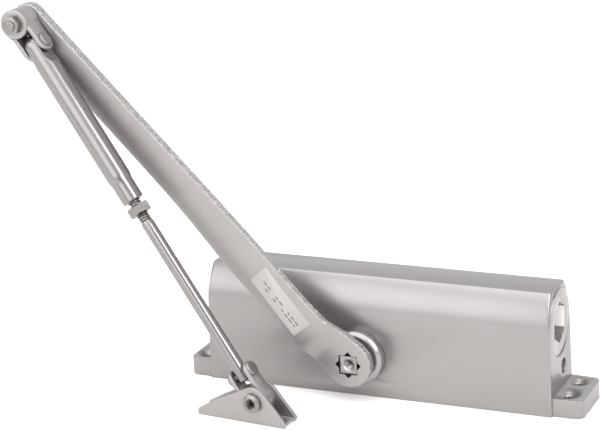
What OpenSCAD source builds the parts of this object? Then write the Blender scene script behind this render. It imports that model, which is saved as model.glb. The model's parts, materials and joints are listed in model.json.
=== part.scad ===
// Surface-mounted hydraulic door closer with a regular two-piece arm.
// +Z leaves the door face, X runs along the body, -Y is the side that carries the arm.
// The origin is the centre of the body's four mounting holes, on the door face.

/* [Body] */
// Length of the body at the door face
body_len = 216.6; // [212:0.2:224]
// Width of the body at the door face
body_w = 44; // [43:0.5:50]
// Height of the body above the door face
body_h = 72.2; // [71:0.2:78]
// Width of the flat strip along the top
top_w = 26.6; // [24:0.2:28]
// How far the right end face leans in over the full height
end_draft = 2.75; // [1:0.05:4]
// How far the left end face leans in over the full height
left_draft = 1; // [0.5:0.05:4]
// Depth of the rack's pitch line inside the piston bore
rack_inset = 3.1; // [2.9:0.05:3.2]
// Diameter of the piston bore
bore_d = 36; // [35.6:0.2:36.4]

/* [Mounting feet] */
// Length of the left foot
left_foot = 14; // [12:0.5:18]
// Length of the right foot
right_foot = 17.5; // [14:0.5:22]
// Thickness of each foot
foot_t = 11; // [9:0.5:12]
// Distance of each mounting hole beyond the end of the body
hole_out = 6.8; // [6.2:0.05:7.4]
// Spacing of the mounting holes across the body
hole_dy = 21; // [18:0.5:23]
// Diameter of each mounting hole
hole_d = 6.5; // [5:0.1:7]
// Diameter of the dished seat around each mounting hole
dish_d = 13.4; // [12:0.1:14]
// How far the sides of each foot are set in from the sides of the body
foot_in = 1.8; // [0.4:0.1:2]

/* [Spindle] */
// Distance of the spindle from the body's middle, to the left
spindle_off = 10.4; // [6:0.2:14]
// Height of the spindle above the door face
spindle_z = 24.6; // [24.6:0.1:24.7]
// Number of teeth on the pinion
teeth = 16; // [16:1:16]
// Gear module of the pinion and the rack
gear_mod = 1.375; // [1.375:0.005:1.38]
// Side of the spindle's square ends
square_side = 10.6; // [10:0.1:11]
// Diameter of the bearing cap's flange
cap_d = 33.4; // [32:0.2:36]
// How far the bearing cap stands out of the body
cap_out = 6.5; // [5:0.1:7]

/* [Main arm] */
// Length of the main arm between its pivots
arm_len = 278.5; // [240:0.5:330]
// Rest angle of the main arm above the +X direction
arm_angle = 134.7; // [110:0.1:150]
// Distance of the arm's eye face from the body's mid plane
eye_front = 38.3; // [38:0.1:40]
// Thickness of the arm's eye
eye_t = 6; // [5:0.1:6.5]
// How far the bar steps out from the eye
arm_step = 5.5; // [4:0.1:7]
// Radius of the eye
eye_r = 13.8; // [13:0.1:15]
// Radius of the rounded elbow end
elbow_end_r = 9.6; // [9:0.1:10.5]

/* [Forearm] */
// Direction of the forearm in the plane of the arm, from +Z towards +X
forearm_angle = 143.6; // [140:0.1:150]
// Tilt of the forearm away from the body
forearm_tilt = 5.7; // [2:0.1:9]
// Gap between a knuckle's barrel and the rounded end of the tube
tube_gap = 1.05; // [0.6:0.05:2.5]
// Length of the forearm tube beyond its rivet
tube_len = 108.5; // [100:0.5:125]
// Diameter of the forearm tube
tube_d = 14.4; // [13.4:0.1:14.6]
// Diameter of the threaded rod
rod_d = 7.8; // [7:0.1:7.8]

/* [Shoe] */
// Turn of the shoe about the vertical
shoe_yaw = -5.9; // [-10:0.1:5]
// Height of the shoe's pivot above its base
shoe_pivot_h = 12.9; // [12.5:0.1:14]
// Distance between the outer faces of the shoe's cheeks
shoe_w = 14.5; // [14.5:0.1:18]
// Thickness of the shoe's sheet
shoe_t = 2; // [1.5:0.1:2]

/* [Hidden] */
$fn = 64;
// Overlap that lets a cut pass cleanly through a face
cut = 1;
// Running clearance between a turning or sliding part and its bore
run = 0.05;

half_w = body_w / 2;
bore_r = bore_d / 2;
pitch_r = gear_mod * teeth / 2;
bore_z = spindle_z + pitch_r + bore_r - rack_inset;
hole_dx = body_len + 2 * hole_out;
// Side face stays flat up to here, then curves in to the top strip
shoulder_z = 48;
shoulder_in = half_w - top_w / 2;
shoulder_up = body_h - shoulder_z;
shoulder_r = (shoulder_in * shoulder_in + shoulder_up * shoulder_up) / (2 * shoulder_in);
lean = [end_draft, left_draft];
foot_corner_r = 5;
dish_deep = 2.6;

// End plugs
plug_r = bore_r + 2;
plug_len = 14.6;
plug_face = body_len / 2 - end_draft * bore_z / body_h + 0.2;
plug_inner = plug_face - plug_len;
// The left plug sits this much further out, flush with its steeper end face
left_shift = (end_draft - left_draft) * bore_z / body_h;
socket_af = 22;
socket_deep = 8;
ring_r = 1;
plug_ring_back = 4;

// Regulating valves
valve_y = 5.4;
valve_z = 21.9;
valve_head_r = 4.5;
valve_stem_r = 3;
valve_face = body_len / 2 - 4.8;
valve_head_len = 5;
valve_stem_len = 14;
valve_port_x = valve_face - 16.5;

// Spindle, its caps and bearings
spindle_x = -spindle_off;
journal_r = square_side / sqrt(2) + 0.5;
bearing_r = journal_r + 3.5;
cap_bore_r = bearing_r + 3;
gear_half = 11;
thrust_gap = 0.3;
cap_front = half_w + cap_out;
cap_wall = 2.5;
bearing_len = 9;
seal_len = 4;
tooth_pitch = PI * gear_mod;
// Half a tooth at the pitch line, with backlash
tooth_half = 0.215 * tooth_pitch;
shaft_back = half_w + cap_out + 7.5;
shaft_front = eye_front - 0.4;
tapped_r = 2.5;
tapped_deep = 14;
// Width of the countersink round each tapped hole
sink = 1.2;

// Piston at rest, against the right-hand stop
piston_left = -31;
piston_right = plug_inner - 10;
stroke = 34;
rack_left = -21.5;
rack_right = 34.5;
rack_pitch_z = spindle_z + pitch_r;
rack_tip_z = rack_pitch_z - gear_mod;
rack_root_z = rack_pitch_z + 1.2 * gear_mod;
web_x = 36;
hollow_x = 46;
ball_r = 2.5;
seat_r = 1.8;
ball_x = web_x + 1 + sqrt(ball_r * ball_r - seat_r * seat_r) + 0.06;
retainer_x = 43.5;

// Closing spring
wire_r = 1.8;
coil_r = bore_r - 4.2;
coils = 6;
coil_steps = 20;
wire_sides = 8;
spring_left = -plug_inner - left_shift + 0.05;
spring_len = piston_left - spring_left - 0.1;

// Main arm, measured out from the body's mid plane
bar_front = eye_front + arm_step;
eye_back = eye_front - eye_t;
bar_back_near = bar_front - arm_step;
bar_back_far = bar_front - 8;
elbow_x = spindle_x + arm_len * cos(arm_angle);
elbow_z = spindle_z + arm_len * sin(arm_angle);
star_side = square_side + 0.2;
label_len = 42;
label_w = 13.3;
label_t = 0.2;
label_turn = 5.4;
label_at = 54;

// Knuckles, rivets and the elbow's stud
barrel_r = 8.75;
elbow_barrel = tube_d + 0.6;
shoe_barrel = shoe_w - 2 * shoe_t - 0.5;
elbow_gap = 0.3;
elbow_y = -(bar_front + elbow_gap + elbow_barrel / 2);
ear_in = 5;
ear_t = 2.5;
rivet_r = 2.3;
rivet_head_r = 4.5;
rivet_head_h = 2.2;
stud_r = 3;
stud_head_r = 7;
stud_head_h = 2.5;
nut_af = 13;
elbow_nut_af = 10;
elbow_nut_h = 3.8;
tube_r = tube_d / 2;
knuckle_reach = barrel_r + tube_gap + tube_r;
rod_r = rod_d / 2;
tube_flat = 4.6;
tube_flat_len = 8.5;
neck_at = tube_len - 15;
neck_r = tube_r - 0.65;
lock_nut_gap = 3.3;
lock_nut_h = 5.5;
nut_bevel = 1.1;
rod_start = tube_len - 22;
rod_end_over = 4.5;

// Forearm direction, then the shoe's knuckle, which keeps the shoe flat on the door face
rivet_1 = [elbow_x + knuckle_reach * sin(forearm_angle), elbow_y,
    elbow_z + knuckle_reach * cos(forearm_angle)];
along = [sin(forearm_angle) * cos(forearm_tilt), -sin(forearm_tilt),
    cos(forearm_angle) * cos(forearm_tilt)];
cross_1 = [cos(forearm_angle), 0, -sin(forearm_angle)];
cross_2 = [sin(forearm_angle) * sin(forearm_tilt), cos(forearm_tilt),
    cos(forearm_angle) * sin(forearm_tilt)];
knuckle_turn = 180 + atan((along[0] * cos(shoe_yaw) + along[1] * sin(shoe_yaw)) / along[2]);
knuckle_dir = [sin(knuckle_turn) * cos(shoe_yaw), sin(knuckle_turn) * sin(shoe_yaw), cos(knuckle_turn)];
rivet_axis = [cos(knuckle_turn) * cos(shoe_yaw), cos(knuckle_turn) * sin(shoe_yaw), -sin(knuckle_turn)];
forearm_len = (shoe_pivot_h - rivet_1[2] - knuckle_reach * knuckle_dir[2]) / along[2];
rivet_2 = rivet_1 + forearm_len * along;
shoe_pivot = rivet_2 + knuckle_reach * knuckle_dir;
rod_spin = atan2(rivet_axis * cross_2, rivet_axis * cross_1);

// Shoe outline about its pivot
apex_r = 9.2;
shoe_tip = [-37.3, -27.7, 21.2, 19.6];
shoe_screw_r = 3;
shoe_hole_r = 2.6;
shoe_holes = [-28, 14];

// Places a child along +X with its round axis on the piston's axis
module on_bore(x) translate([x, 0, bore_z]) rotate([0, 90, 0]) children();
// Places a child with its z axis pointing out of the front of the body at the spindle
module on_spindle() translate([spindle_x, 0, spindle_z]) rotate([90, 0, 0]) children();
// Frame of the main arm: x along it, z out from the body
module in_arm() on_spindle() rotate([0, 0, arm_angle]) children();
// Frame of the elbow: z towards the forearm, y the barrel's axis
module in_elbow() translate([elbow_x, elbow_y, elbow_z]) rotate([0, forearm_angle, 0]) children();
// Frame of the forearm: origin on its upper rivet, z down its length
module in_forearm() translate(rivet_1) rotate([0, forearm_angle, 0]) rotate([forearm_tilt, 0, 0])
    children();
// Frame of the shoe: origin on its pivot, y the pivot's axis
module in_shoe() translate(shoe_pivot) rotate([0, 0, shoe_yaw]) children();
// A cylinder along the y axis, centred on the origin
module y_rod(r, len) rotate([90, 0, 0]) cylinder(r = r, h = len, center = true);
// A cylinder along the x axis, centred on the origin
module x_rod(r, len) rotate([0, 90, 0]) cylinder(r = r, h = len, center = true);
// A hexagonal bar with two corners on the x axis
module hex_bar(af, h) cylinder(r = af / sqrt(3), h = h, $fn = 6);
// A plain ring with its axis on z
module flat_ring(r_out, r_in, h) difference() {
    cylinder(r = r_out, h = h);
    translate([0, 0, -cut]) cylinder(r = r_in, h = h + 2 * cut);
}
// A round-section ring with its axis on z
module o_ring(r) rotate_extrude() translate([r, 0]) circle(r = ring_r, $fn = 24);

// Cross-section of the body: flat sides that curve in to a flat top
module body_section() {
    translate([-half_w, 0]) square([body_w, shoulder_z]);
    intersection() {
        translate([half_w - shoulder_r, shoulder_z]) circle(r = shoulder_r, $fn = 128);
        translate([shoulder_r - half_w, shoulder_z]) circle(r = shoulder_r, $fn = 128);
        translate([-half_w, shoulder_z]) square([body_w, shoulder_up]);
    }
}

// One foot plate with its outer corners rounded, reaching out to x = reach
module foot_plate(reach) {
    inner = body_len / 2 - 10;
    side_y = half_w - foot_in;
    corner_y = side_y - foot_corner_r;
    linear_extrude(foot_t) union() {
        translate([inner, -side_y]) square([reach - foot_corner_r - inner, 2 * side_y]);
        translate([inner, -corner_y]) square([reach - inner, 2 * corner_y]);
        for (side = [-1, 1]) translate([reach - foot_corner_r, side * corner_y]) circle(r = foot_corner_r);
    }
}

// Screw hole with a dished seat, standing on the door face
module foot_hole() {
    translate([0, 0, -cut]) cylinder(d = hole_d, h = foot_t + 2 * cut);
    translate([0, 0, foot_t - dish_deep]) cylinder(d1 = hole_d, d2 = dish_d, h = dish_deep);
    translate([0, 0, foot_t]) cylinder(d = dish_d, h = cut);
}

// Stepped pocket for a regulating valve, with its oil ways, at the right-hand end
module valve_pocket() {
    head_start = valve_face - valve_head_len;
    translate([head_start, valve_y, valve_z]) rotate([0, 90, 0]) cylinder(r = valve_head_r + run, h = 20);
    translate([valve_port_x - 4, valve_y, valve_z]) rotate([0, 90, 0])
        cylinder(r = valve_stem_r + run, h = head_start - valve_port_x + 5);
    translate([valve_port_x, valve_y, valve_z]) cylinder(r = 1.5, h = bore_z - bore_r - valve_z + 3);
    translate([spindle_off, valve_y, valve_z]) rotate([0, 90, 0])
        cylinder(r = 1.4, h = valve_port_x - 3 - spindle_off);
}

module body_casting() color("silver") difference() {
    union() {
        difference() {
            rotate([90, 0, 90]) linear_extrude(body_len, center = true) body_section();
            for (side = [0, 1]) mirror([side, 0, 0]) translate([body_len / 2, 0, 0])
                rotate([0, -atan(lean[side] / body_h), 0]) translate([0, -body_w, -body_h]) cube([body_h, 2 * body_w, 3 * body_h]);
        }
        foot_plate(body_len / 2 + right_foot);
        mirror([1, 0, 0]) foot_plate(body_len / 2 + left_foot);
    }
    for (x = [-1, 1], y = [-1, 1]) translate([x * hole_dx / 2, y * hole_dy / 2, 0]) foot_hole();
    on_bore(-body_len / 2 - cut) cylinder(r = bore_r, h = body_len + 2 * cut);
    for (side = [0, 1]) translate([-side * left_shift, 0, 0]) mirror([side, 0, 0])
        on_bore(plug_inner) cylinder(r = plug_r, h = 2 * plug_len);
    for (side = [0, 1]) mirror([side, 0, 0]) valve_pocket();
    on_spindle() cylinder(r = cap_bore_r, h = 2 * body_w, center = true);
}

// Threaded end plug with a hexagon socket, right-hand end
module end_plug() difference() {
    on_bore(plug_inner) cylinder(r = plug_r, h = plug_len);
    on_bore(plug_face - socket_deep) hex_bar(socket_af, socket_deep + cut);
    on_bore(plug_inner + plug_ring_back - ring_r - 0.1) difference() {
        cylinder(r = plug_r + cut, h = 2 * ring_r + 0.2);
        translate([0, 0, -cut]) cylinder(r = plug_r - 2 * ring_r - 0.1, h = 2 * ring_r + 0.2 + 2 * cut);
    }
}
module plug_ring() on_bore(plug_inner + plug_ring_back) o_ring(plug_r - ring_r - 0.05);

module right_end_plug() color("gainsboro") end_plug();
module left_end_plug() color("gainsboro") translate([-left_shift, 0, 0]) mirror([1, 0, 0]) end_plug();
module right_plug_o_ring() color("dimgray") plug_ring();
module left_plug_o_ring() color("dimgray") translate([-left_shift, 0, 0]) mirror([1, 0, 0]) plug_ring();

// Regulating valve: slotted head, grooved stem and a metering cone, right-hand end
valve_ring_at = valve_face - valve_head_len - 4;
module valve_screw() translate([0, valve_y, valve_z]) rotate([0, 90, 0]) difference() {
    union() {
        translate([0, 0, valve_face - valve_head_len]) cylinder(r = valve_head_r, h = valve_head_len);
        translate([0, 0, valve_port_x + 2.5]) cylinder(r = valve_stem_r, h = valve_face - valve_head_len
            - valve_port_x - 2.5);
        translate([0, 0, valve_port_x - 1.5]) cylinder(r1 = 1.2, r2 = valve_stem_r, h = 4);
    }
    translate([0, 0, valve_face - 1.5]) translate([-0.6, -valve_head_r - cut, 0])
        cube([1.2, 2 * (valve_head_r + cut), 3]);
    translate([0, 0, valve_ring_at - 0.8]) flat_ring(valve_stem_r + cut, valve_stem_r - 1.45, 1.6);
}
module valve_ring() translate([valve_ring_at, valve_y, valve_z]) rotate([0, 90, 0]) rotate_extrude()
    translate([valve_stem_r - 0.7, 0]) circle(r = 0.7, $fn = 24);

module closing_valve() color("gold") valve_screw();
module backcheck_valve() color("gold") mirror([1, 0, 0]) valve_screw();
module closing_valve_o_ring() color("dimgray") valve_ring();
module backcheck_valve_o_ring() color("dimgray") mirror([1, 0, 0]) valve_ring();

// Bearing cap: threaded spigot, chamfered flange, pocket for bearing and seal
module bearing_cap() on_spindle() rotate_extrude() {
    bevel = 2;
    polygon([[bearing_r, gear_half + thrust_gap], [cap_bore_r, gear_half + thrust_gap],
        [cap_bore_r, half_w], [cap_d / 2, half_w], [cap_d / 2, cap_front - bevel],
        [cap_d / 2 - bevel, cap_front], [journal_r + 0.4, cap_front],
        [journal_r + 0.4, cap_front - cap_wall], [bearing_r, cap_front - cap_wall]]);
}
module bearing() on_spindle() translate([0, 0, gear_half + thrust_gap + 0.7])
    flat_ring(bearing_r, journal_r + run, bearing_len);
module shaft_seal() on_spindle() translate([0, 0, cap_front - cap_wall - seal_len])
    flat_ring(bearing_r, journal_r + run, seal_len);

module front_bearing_cap() color("silver") bearing_cap();
module rear_bearing_cap() color("silver") mirror([0, 1, 0]) bearing_cap();
module front_needle_bearing() color("lightsteelblue") bearing();
module rear_needle_bearing() color("lightsteelblue") mirror([0, 1, 0]) bearing();
module front_shaft_seal() color("dimgray") shaft_seal();
module rear_shaft_seal() color("dimgray") mirror([0, 1, 0]) shaft_seal();

// One straight-flanked gear tooth pointing along +x, for the pinion
module gear_tooth() {
    tip = pitch_r + gear_mod;
    root = pitch_r - 1.25 * gear_mod;
    half_root = tooth_pitch * 0.32;
    half_tip = tooth_pitch * 0.12;
    polygon([[root - 1, -half_root], [root, -half_root], [pitch_r, -tooth_half], [tip, -half_tip],
        [tip, half_tip], [pitch_r, tooth_half], [root, half_root], [root - 1, half_root]]);
}
module pinion_shaft() color("lightgray") on_spindle() difference() {
    union() {
        linear_extrude(2 * gear_half, center = true) union() {
            circle(r = pitch_r - 1.25 * gear_mod);
            for (i = [0:teeth - 1]) rotate([0, 0, 90 + i * 360 / teeth]) gear_tooth();
        }
        cylinder(r = journal_r, h = 2 * cap_front + 0.8, center = true);
        translate([-square_side / 2, -square_side / 2, -shaft_back])
            cube([square_side, square_side, shaft_back + shaft_front]);
    }
    for (side = [0, 1]) mirror([0, 0, side]) {
        end = side == 0 ? shaft_front : shaft_back;
        translate([0, 0, end - tapped_deep]) cylinder(r = tapped_r, h = tapped_deep + cut);
        translate([0, 0, end - sink]) cylinder(r1 = tapped_r, r2 = tapped_r + sink, h = sink);
        translate([0, 0, end]) cylinder(r = tapped_r + sink, h = cut);
    }
}

// Rack space under the piston, and side reliefs that pass the bearing caps over the whole stroke
module rack_space() {
    below = bore_z - bore_r - cut;
    translate([rack_left, -bore_r, below]) cube([rack_right - rack_left, 2 * bore_r, rack_root_z - below]);
    relief_left = spindle_x - cap_bore_r - 0.5;
    relief_right = spindle_x + cap_bore_r + stroke + 0.5;
    relief_top = spindle_z + cap_bore_r + 0.4;
    for (side = [0, 1]) mirror([0, side, 0]) translate([relief_left, gear_half, below])
        cube([relief_right - relief_left, bore_r, relief_top - below]);
}
// Rack teeth, one gap centred over the spindle
module rack_teeth() {
    first = ceil((rack_left + 2 - spindle_x) / tooth_pitch - 0.5);
    last = floor((rack_right - 2 - spindle_x) / tooth_pitch - 0.5);
    up = rack_root_z - rack_pitch_z;
    slope = 0.115 / gear_mod * tooth_pitch;
    for (i = [first:last]) translate([spindle_x + (i + 0.5) * tooth_pitch, 0, 0]) rotate([90, 0, 0])
        linear_extrude(2 * gear_half, center = true) polygon([
            [-tooth_half + slope * gear_mod, rack_tip_z], [tooth_half - slope * gear_mod, rack_tip_z],
            [tooth_half + slope * up, rack_root_z + cut], [-tooth_half - slope * up, rack_root_z + cut]]);
}
module piston() color("darkgray") difference() {
    intersection() {
        on_bore(piston_left) cylinder(r = bore_r - run, h = piston_right - piston_left);
        union() {
            difference() {
                on_bore(piston_left - cut) cylinder(r = bore_r, h = piston_right - piston_left + 2 * cut);
                rack_space();
            }
            rack_teeth();
        }
    }
    on_bore(hollow_x) cylinder(r = bore_r - 6, h = piston_right);
    on_bore(web_x + 1) cylinder(r = ball_r + 0.7, h = hollow_x - web_x);
    on_bore(27) cylinder(r = seat_r, h = web_x - 25);
    translate([27, 0, rack_root_z - cut]) cylinder(r = seat_r, h = bore_z - rack_root_z + cut);
}
module check_ball() color("white") translate([ball_x, 0, bore_z]) sphere(r = ball_r);
module check_ball_retainer() color("gold") on_bore(retainer_x) flat_ring(ball_r + 0.7, 1.5, 2);

// Axial place along the spring after a number of turns: one closed turn at each end
function rise(t) = t < 1 ? 2 * wire_r * t
    : t > coils - 1 ? spring_len - 2 * wire_r - 2 * wire_r * (coils - t)
    : 2 * wire_r + (t - 1) * (spring_len - 6 * wire_r) / (coils - 2);
// One ring of the wire's points at step k
function wire_ring(k) = [for (j = [0:wire_sides - 1])
    let (a = 360 * k / coil_steps, b = 360 * j / wire_sides, r = coil_r + wire_r * cos(b))
    [wire_r + rise(k / coil_steps) + wire_r * sin(b), r * sin(a), r * cos(a)]];
module closing_spring() color("slategray") {
    rings = coils * coil_steps;
    points = [for (k = [0:rings]) each wire_ring(k)];
    sides = [for (k = [0:rings - 1], j = [0:wire_sides - 1]) let (n = (j + 1) % wire_sides)
        [k * wire_sides + j, (k + 1) * wire_sides + j, (k + 1) * wire_sides + n, k * wire_sides + n]];
    start_cap = [[for (j = [0:wire_sides - 1]) j]];
    end_cap = [[for (j = [wire_sides - 1:-1:0]) rings * wire_sides + j]];
    translate([spring_left, 0, bore_z]) polyhedron(points, concat(start_cap, sides, end_cap));
}

// Outline of the main arm: eye, tapering bar and rounded elbow end
module arm_outline() {
    circle(r = eye_r);
    translate([arm_len, 0]) circle(r = elbow_end_r);
    polygon([[0, -eye_r], [18, -11.5], [38, -9.8], [90, -10.6], [130, -10.6], [arm_len, -elbow_end_r],
        [arm_len, elbow_end_r], [170, 9.4], [130, 10.2], [88, 12.8], [42, 13.3], [22, 13.7], [0, eye_r]]);
}
// Smooth step from 0 to 1 between two places
function step(x, from, to) = (1 - cos(180 * min(1, max(0, (x - from) / (to - from))))) / 2;
// Side view of the arm: the eye lies close to the body, the bar steps out and thickens to the elbow
module arm_side() {
    xs = concat([-20], [for (x = [11:2:31]) x], [arm_len + 20]);
    back = [for (x = xs) [x, eye_back + (bar_back_near - eye_back) * step(x, 11, 29)
        + (bar_back_far - bar_back_near) * max(0, x - 31) / arm_len]];
    front = [for (i = [len(xs) - 1:-1:0]) [xs[i], eye_front + arm_step * step(xs[i], 13, 31)]];
    polygon(concat(back, front));
}
module main_arm() color("silver") in_arm() difference() {
    intersection() {
        linear_extrude(bar_front + cut) arm_outline();
        rotate([90, 0, 0]) linear_extrude(60, center = true) arm_side();
    }
    for (turn = [0, 45]) rotate([0, 0, turn - arm_angle]) translate([-star_side / 2, -star_side / 2, 0])
        cube([star_side, star_side, 2 * eye_front]);
    translate([arm_len, 0, 0]) cylinder(r = stud_r, h = 2 * bar_front);
}
module arm_label() color("gainsboro") in_arm() translate([label_at, 1.9, bar_front])
    rotate([0, 0, -label_turn]) translate([-label_len / 2, -label_w / 2, 0])
    cube([label_len, label_w, label_t]);

// Shouldered stud: riveted head behind the arm, shank through arm and barrel
stud_end = bar_front + elbow_gap + elbow_barrel + elbow_gap + elbow_nut_h + 1.2;
arm_back_at_elbow = bar_back_near + (bar_back_far - bar_back_near) * (arm_len - 31) / arm_len;
module elbow_stud() color("silver") in_arm() translate([arm_len, 0, 0]) {
    translate([0, 0, arm_back_at_elbow - stud_head_h]) cylinder(r = stud_head_r, h = stud_head_h - 0.15);
    translate([0, 0, arm_back_at_elbow - 1]) cylinder(r = stud_r, h = stud_end - arm_back_at_elbow + 1);
}
module elbow_nut() color("silver") in_arm() translate([arm_len, 0, stud_end - 1.2 - elbow_nut_h])
    difference() {
        hex_bar(elbow_nut_af, elbow_nut_h);
        translate([0, 0, -cut]) cylinder(r = stud_r, h = elbow_nut_h + 2 * cut);
    }

// Knuckle: a barrel on the y axis with two ears reaching up z to the rivet
module knuckle(barrel, bore, ear_w) difference() {
    union() {
        y_rod(barrel_r, barrel);
        for (side = [-1, 1]) translate([side * (ear_in + ear_t / 2), 0, 0]) {
            translate([-ear_t / 2, -ear_w / 2, 0]) cube([ear_t, ear_w, knuckle_reach]);
            translate([0, 0, knuckle_reach]) x_rod(ear_w / 2, ear_t);
        }
    }
    y_rod(bore, barrel + 2 * cut);
    translate([0, 0, knuckle_reach]) x_rod(rivet_r, 4 * ear_in);
}
// Domed rivet through both ears, on the x axis
module ear_rivet() {
    reach = ear_in + ear_t;
    dome_r = (rivet_head_r * rivet_head_r + rivet_head_h * rivet_head_h) / (2 * rivet_head_h);
    rotate([0, 90, 0]) rotate_extrude() {
        translate([0, -reach]) square([rivet_r, 2 * reach]);
        for (side = [0, 1]) mirror([0, side]) intersection() {
            translate([0, reach + rivet_head_h - dome_r]) circle(r = dome_r);
            translate([0, reach]) square([rivet_head_r + cut, rivet_head_h + cut]);
        }
    }
}
module elbow_knuckle() color("silver") in_elbow() knuckle(elbow_barrel, stud_r + 0.08, 13);
module elbow_rivet() color("silver") in_elbow() translate([0, 0, knuckle_reach]) ear_rivet();

// Forearm tube: flattened solid eye, hollow body, necked threaded end
module forearm_tube() color("silver") in_forearm() difference() {
    union() {
        cylinder(r = tube_r, h = neck_at);
        x_rod(tube_r, 2 * tube_flat);
        translate([0, 0, neck_at]) cylinder(r1 = tube_r, r2 = neck_r, h = 2);
        translate([0, 0, neck_at]) cylinder(r = neck_r, h = tube_len - neck_at);
    }
    for (side = [-1, 1]) translate([side * (tube_flat + 5), 0, 0])
        cube([10, 4 * tube_r, 2 * tube_flat_len], center = true);
    x_rod(rivet_r + run, 4 * tube_r);
    translate([0, 0, 14]) cylinder(r = tube_r - 1.5, h = neck_at - 16);
    translate([0, 0, neck_at - 3]) cylinder(r = rod_r + 0.1, h = tube_len);
}
// Threaded rod with a cross hole for the shoe's rivet
module forearm_rod() color("gainsboro") in_forearm() difference() {
    translate([0, 0, rod_start]) cylinder(r = rod_r, h = forearm_len + rod_end_over - rod_start);
    translate([0, 0, forearm_len]) rotate([0, 0, rod_spin]) x_rod(rivet_r + run, 4 * rod_r);
}
module lock_nut() color("silver") in_forearm() translate([0, 0, tube_len + lock_nut_gap]) difference() {
    intersection() {
        hex_bar(nut_af, lock_nut_h);
        rotate_extrude() polygon([[0, 0], [nut_af / 2, 0], [nut_af / 2 + nut_bevel, nut_bevel],
            [nut_af / 2 + nut_bevel, lock_nut_h - nut_bevel], [nut_af / 2, lock_nut_h], [0, lock_nut_h]]);
    }
    translate([0, 0, -cut]) cylinder(r = rod_r + 0.1, h = lock_nut_h + 2 * cut);
}
module shoe_knuckle() color("silver") in_shoe() rotate([0, knuckle_turn + 180, 0])
    knuckle(shoe_barrel, shoe_screw_r + run, shoe_barrel);
module shoe_rivet() color("silver") in_shoe() rotate([0, knuckle_turn, 0])
    translate([0, 0, -knuckle_reach]) ear_rivet();

// Side view of a shoe cheek: long blunt toe, round top over the pivot, steep heel
module cheek_outline() {
    left = 116.6;
    right = 41.1;
    toe_h = 3.7;
    circle(r = apex_r);
    polygon([[shoe_tip[0], -shoe_pivot_h], [shoe_tip[0], toe_h - shoe_pivot_h], [shoe_tip[1], -3.6],
        apex_r * [cos(left), sin(left)], apex_r * [cos(right), sin(right)],
        [shoe_tip[2], -10.3], [shoe_tip[2], -11.5], [shoe_tip[3], -shoe_pivot_h]]);
}
module shoe_bracket() color("silver") in_shoe() difference() {
    union() {
        for (side = [-1, 1]) translate([0, side * (shoe_w - shoe_t) / 2, 0]) rotate([90, 0, 0])
            linear_extrude(shoe_t, center = true) cheek_outline();
        translate([shoe_tip[0], -shoe_w / 2, -shoe_pivot_h])
            cube([shoe_tip[3] - shoe_tip[0], shoe_w, shoe_t]);
    }
    y_rod(shoe_screw_r, 2 * shoe_w);
    for (x = shoe_holes) translate([x, 0, -shoe_pivot_h - cut]) cylinder(r = shoe_hole_r, h = shoe_t + 2 * cut);
}
// Pan-head pivot screw through both cheeks
shoe_head_r = 5.4;
shoe_head_h = 3;
shoe_nut_h = 4;
module shoe_pivot_screw() color("silver") in_shoe() rotate([90, 0, 0]) difference() {
    union() {
        translate([0, 0, -shoe_w / 2 - shoe_nut_h - 1]) cylinder(r = shoe_screw_r, h = shoe_w + shoe_nut_h + 1.5);
        translate([0, 0, shoe_w / 2 + 0.05]) cylinder(r = shoe_head_r, h = shoe_head_h - 1);
        translate([0, 0, shoe_w / 2 + shoe_head_h - 1]) cylinder(r1 = shoe_head_r, r2 = 3.6, h = 1);
    }
    for (turn = [0, 90]) rotate([0, 0, turn]) translate([-3, -0.6, shoe_w / 2 + 1]) cube([6, 1.2, shoe_head_h]);
}
module shoe_pivot_nut() color("silver") in_shoe() rotate([-90, 0, 0])
    translate([0, 0, shoe_w / 2 + 0.1]) difference() {
        hex_bar(10, shoe_nut_h);
        translate([0, 0, -cut]) cylinder(r = shoe_screw_r, h = shoe_nut_h + 2 * cut);
    }

body_casting();
right_end_plug();
left_end_plug();
right_plug_o_ring();
left_plug_o_ring();
closing_valve();
backcheck_valve();
closing_valve_o_ring();
backcheck_valve_o_ring();
front_bearing_cap();
rear_bearing_cap();
front_needle_bearing();
rear_needle_bearing();
front_shaft_seal();
rear_shaft_seal();
pinion_shaft();
piston();
check_ball();
check_ball_retainer();
closing_spring();
main_arm();
arm_label();
elbow_stud();
elbow_nut();
elbow_knuckle();
elbow_rivet();
forearm_tube();
forearm_rod();
lock_nut();
shoe_knuckle();
shoe_rivet();
shoe_bracket();
shoe_pivot_screw();
shoe_pivot_nut();
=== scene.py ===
# %% [markdown]
# # A hydraulic door closer, dressed for its portrait
# The closer is a cast aluminium body with a steel arm in two pieces. It lies on its back, so
# the face that would touch the door is the floor plane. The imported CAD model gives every
# place and size. This notebook keeps those sizes and adds what machining, casting, paint and
# zinc plating do to a surface: rounded edges, rough cast walls, threads and domed rivets.
#
# Lengths inside a piece are written in millimetres, in that piece's own frame, because the
# drawings of such hardware are. One helper turns them into metres where the CAD says.

# %% Load the packed closer
import json
import math
import bmesh
import bpy
from mathutils import Matrix, Vector, noise


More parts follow.
